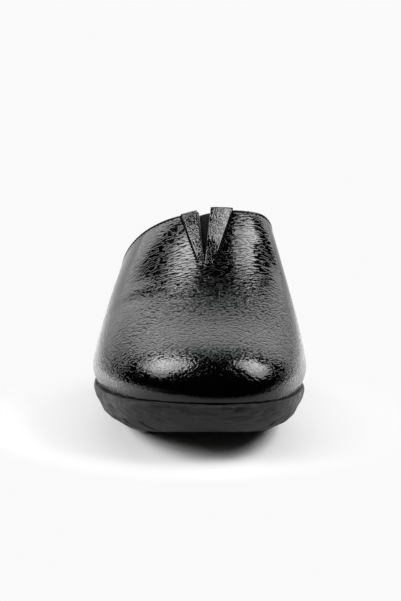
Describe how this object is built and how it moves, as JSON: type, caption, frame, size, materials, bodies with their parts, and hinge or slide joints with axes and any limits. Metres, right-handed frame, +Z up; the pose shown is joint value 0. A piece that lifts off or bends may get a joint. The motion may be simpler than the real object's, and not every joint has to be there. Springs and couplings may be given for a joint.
{
  "type": "patent leather slipper",
  "caption": "Backless slip-on slipper in crinkled black patent leather, with a notched throat over an elastic gore and a dark moulded wedge sole with a grooved tread.",
  "frame": {"origin": "on the floor under the middle of the shoe's bounding box", "axes": "toe towards -Y, heel towards +Y, inner side of the foot towards +X, +Z up"},
  "size_m": [0.0985, 0.258, 0.0989],
  "materials": {
    "patent_leather": "crinkled black patent, glossy clear coat",
    "elastic": "fine ribbed black elastic",
    "footbed": "matt black lining leather",
    "foam": "dark grey moulded foam, matt",
    "tread": "near black rubber, matt"
  },
  "bodies": {
    "root": {"upper": "patent_leather", "throat_facing_lateral": "patent_leather", "throat_facing_medial": "patent_leather", "gore": "elastic", "insole": "footbed", "midsole": "foam", "outsole": "tread"}
  },
  "joints": []
}
